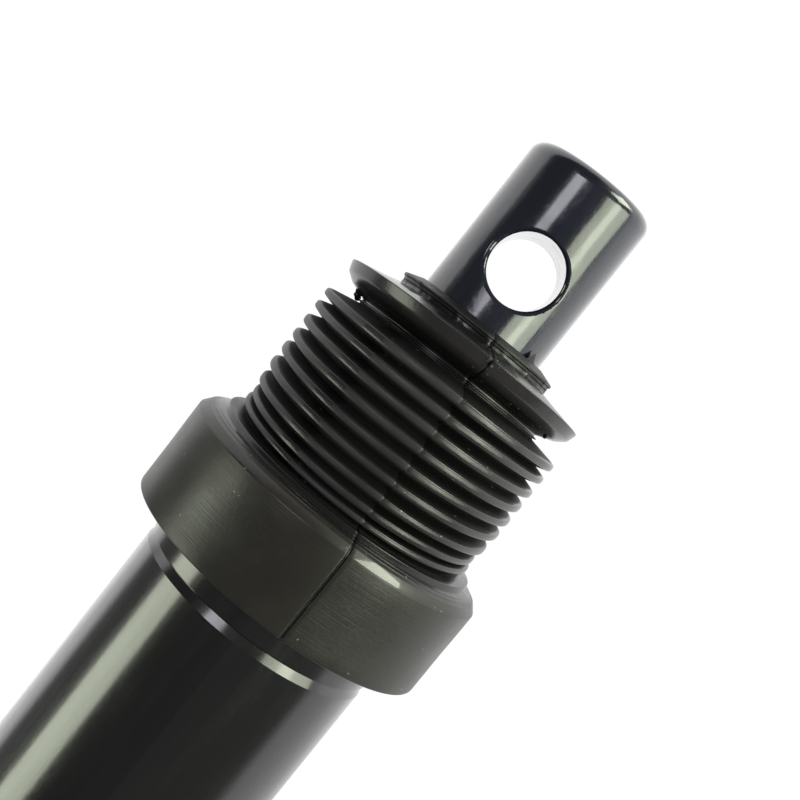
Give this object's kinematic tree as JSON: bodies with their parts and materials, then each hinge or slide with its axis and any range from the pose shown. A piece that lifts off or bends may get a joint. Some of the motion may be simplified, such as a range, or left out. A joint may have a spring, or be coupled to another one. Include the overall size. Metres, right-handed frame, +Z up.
{
  "type": "single acting hydraulic cylinder",
  "caption": "Single acting hydraulic ram with a painted barrel, a bellows rubber boot on its gland, a cross drilled plain rod end and a welded base eye.",
  "frame": {"origin": "centre of the base eye's pin hole, on the ram's axis", "axes": "+X along the ram towards the rod end; +Z up along the pin holes, away from the port; the ram rests level on the port boss's face and the round cuff of the boot"},
  "size_m": [0.3524, 0.0734, 0.0734],
  "materials": {
    "barrel_paint": "gloss black paint",
    "rod_paint": "gloss black paint",
    "boot_rubber": "semi-matt moulded black rubber",
    "seal_rubber": "smooth black rubber",
    "guide_bronze": "turned bronze",
    "wear_plastic": "matt filled plastic",
    "collar_steel": "turned steel",
    "ring_steel": "phosphated spring steel"
  },
  "bodies": {
    "barrel": {"rubber_boot": "boot_rubber", "gland_nut": "barrel_paint", "barrel_tube": "barrel_paint", "wiper_ring": "seal_rubber", "gland_o_ring": "seal_rubber", "packing_top_ring": "seal_rubber", "packing_vee_1": "seal_rubber", "packing_vee_2": "seal_rubber", "packing_vee_3": "seal_rubber", "packing_vee_4": "seal_rubber", "packing_bottom_ring": "seal_rubber", "guide_bushing": "guide_bronze", "guide_snap_ring": "ring_steel", "base_lug": "barrel_paint", "base_weld": "barrel_paint", "port_boss": "barrel_paint", "port_weld": "barrel_paint"},
    "stop": {"stop_collar": "collar_steel", "stop_wear_ring": "wear_plastic"},
    "rod": {"rod": "rod_paint", "stop_snap_ring_outer": "ring_steel", "stop_snap_ring_inner": "ring_steel"}
  },
  "joints": [
    {"name": "rod_slide", "type": "slide", "parent": "barrel", "child": "stop", "axis": [1, 0, 0], "range_m": [0, 0.1], "deforming": ["rubber_boot"]},
    {"name": "rod_turn", "type": "hinge", "parent": "stop", "child": "rod", "pos_m": [0.31, 0, 0], "axis": [1, 0, 0], "continuous": true}
  ]
}
